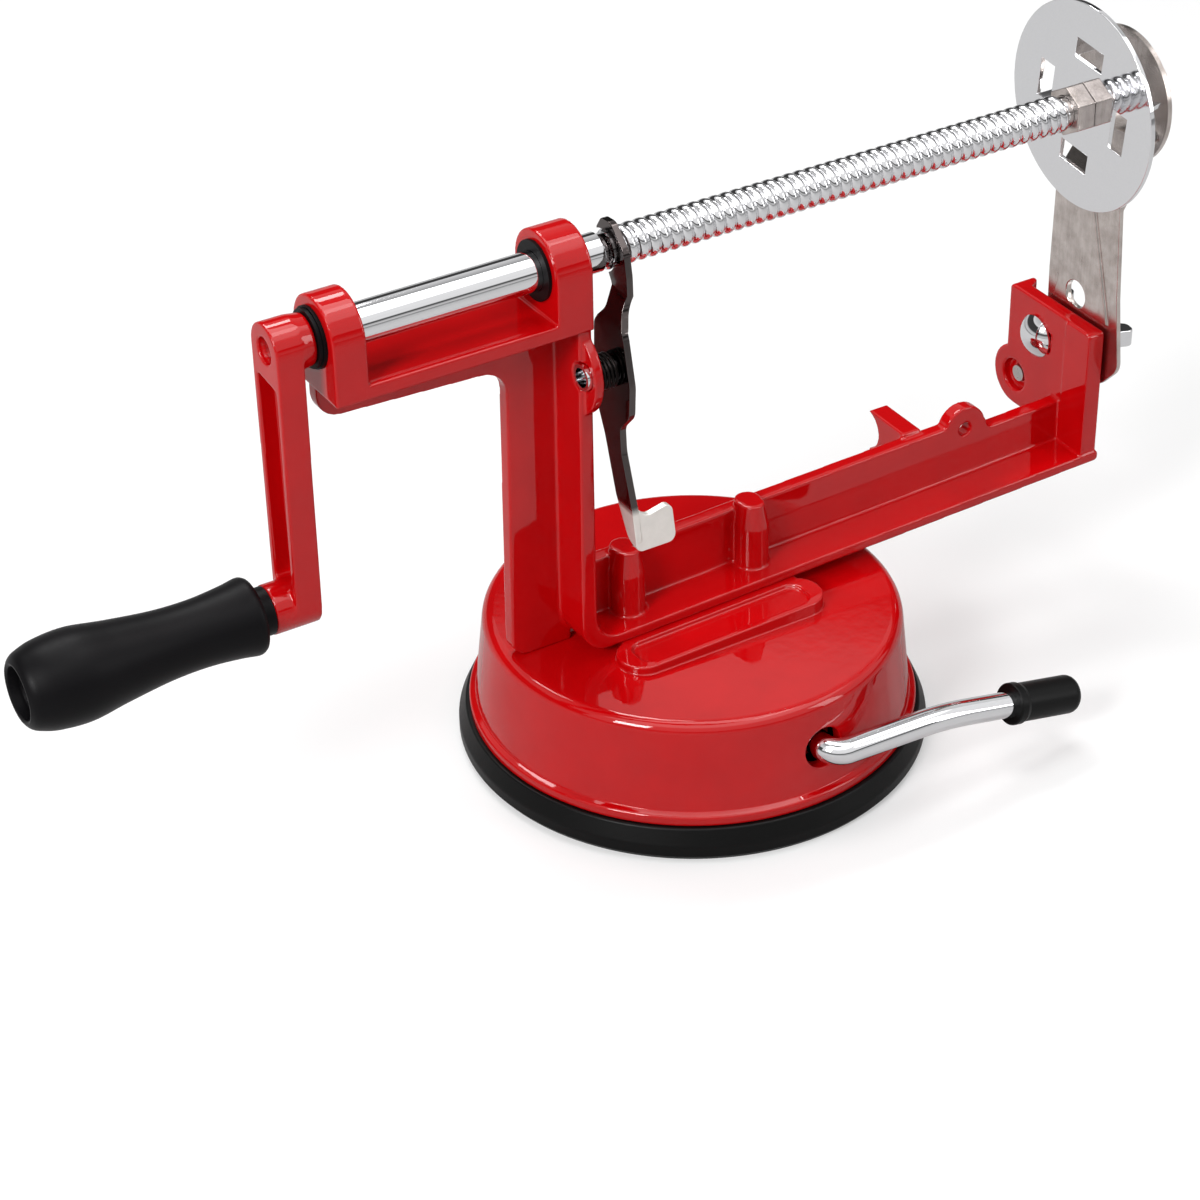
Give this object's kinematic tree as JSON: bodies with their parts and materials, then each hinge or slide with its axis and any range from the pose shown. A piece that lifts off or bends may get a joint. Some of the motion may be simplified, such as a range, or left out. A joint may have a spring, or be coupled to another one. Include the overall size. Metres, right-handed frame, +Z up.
{
  "type": "apple peeler corer",
  "caption": "Hand cranked fruit turner on a suction base: a screw feed shaft pushes a pronged disc towards a round slicing and coring blade on an open C-shaped frame.",
  "frame": {"origin": "centre of the round base on the table", "axes": "+X along the feed shaft from the crank to the blade, +Y to the back, +Z up"},
  "size_m": [0.2969, 0.1156, 0.159],
  "materials": {
    "red_paint": "gloss powder coat on die cast zinc",
    "black_rubber": "semi-matt moulded rubber",
    "black_plastic": "satin moulded plastic",
    "chromed_steel": "bright chrome plate",
    "zinc_plate": "zinc plate, slightly grained",
    "raw_steel": "mottled rolled steel"
  },
  "bodies": {
    "base": {"base_casting": "red_paint", "suction_cup": "black_rubber", "frame_casting": "red_paint", "frame_screws": "zinc_plate", "left_bush": "black_plastic", "right_bush": "black_plastic", "lever_pin": "chromed_steel", "lever_spring": "zinc_plate", "anchor_pin": "zinc_plate"},
    "feed_washer": {"thrust_washer": "black_plastic"},
    "crank": {"feed_shaft": "chromed_steel", "feed_thread": "chromed_steel", "disc_nut": "chromed_steel", "pusher_disc": "chromed_steel", "crank_arm": "red_paint", "crank_pin": "zinc_plate", "handle_spindle": "chromed_steel", "handle_collar": "black_plastic"},
    "handle": {"handle_grip": "black_plastic"},
    "release": {"release_lever": "zinc_plate"},
    "suction": {"suction_lever": "chromed_steel", "lever_cam": "zinc_plate", "lever_grip": "black_rubber", "retaining_clip": "zinc_plate"},
    "plunger": {"cup_plunger": "zinc_plate"},
    "clamp": {"clamp_bolt": "chromed_steel", "clamp_washer": "zinc_plate"},
    "nut": {"wing_nut": "chromed_steel"},
    "blade": {"blade_holder": "raw_steel", "slicing_blade": "raw_steel", "coring_ring": "raw_steel"}
  },
  "joints": [
    {"name": "feed_slide", "type": "slide", "parent": "base", "child": "feed_washer", "axis": [-1, 0, 0], "range_m": [0, 0.1102]},
    {"name": "crank_turn", "type": "hinge", "parent": "feed_washer", "child": "crank", "pos_m": [-0.1, 0, 0.1336], "axis": [-1, 0, 0], "range_deg": [0, 14142.86]},
    {"name": "handle_spin", "type": "hinge", "parent": "crank", "child": "handle", "pos_m": [-0.14, 0, 0.071], "axis": [1, 0, 0], "continuous": true},
    {"name": "release_swing", "type": "hinge", "parent": "base", "child": "release", "pos_m": [-0.0257, -0.0085, 0.1093], "axis": [1, 0, 0], "range_deg": [0, 12], "stiffness_Nm_per_rad": 0.02, "springref_deg": -11.46},
    {"name": "suction_turn", "type": "hinge", "parent": "base", "child": "suction", "pos_m": [0.0031, -0.05, 0.0211], "axis": [0, -1, 0], "range_deg": [0, 170]},
    {"name": "plunger_lift", "type": "slide", "parent": "base", "child": "plunger", "axis": [0, 0, 1], "range_m": [0, 0.00301]},
    {"name": "blade_shift", "type": "slide", "parent": "base", "child": "clamp", "axis": [0, -1, 0], "range_m": [0, 0.0025]},
    {"name": "blade_swing", "type": "hinge", "parent": "clamp", "child": "blade", "pos_m": [0.1151, 0.0134, 0.0656], "axis": [1, 0, 0], "range_deg": [0, 90]},
    {"name": "nut_turn", "type": "hinge", "parent": "clamp", "child": "nut", "pos_m": [0.12, 0.0134, 0.0656], "axis": [1, 0, 0], "continuous": true}
  ],
  "couplings": [
    {"joint": "feed_slide", "follows": "crank_turn", "m_per_rad": 0.00044563},
    {"joint": "plunger_lift", "follows": "suction_turn", "m_per_rad": 0.0010111}
  ]
}
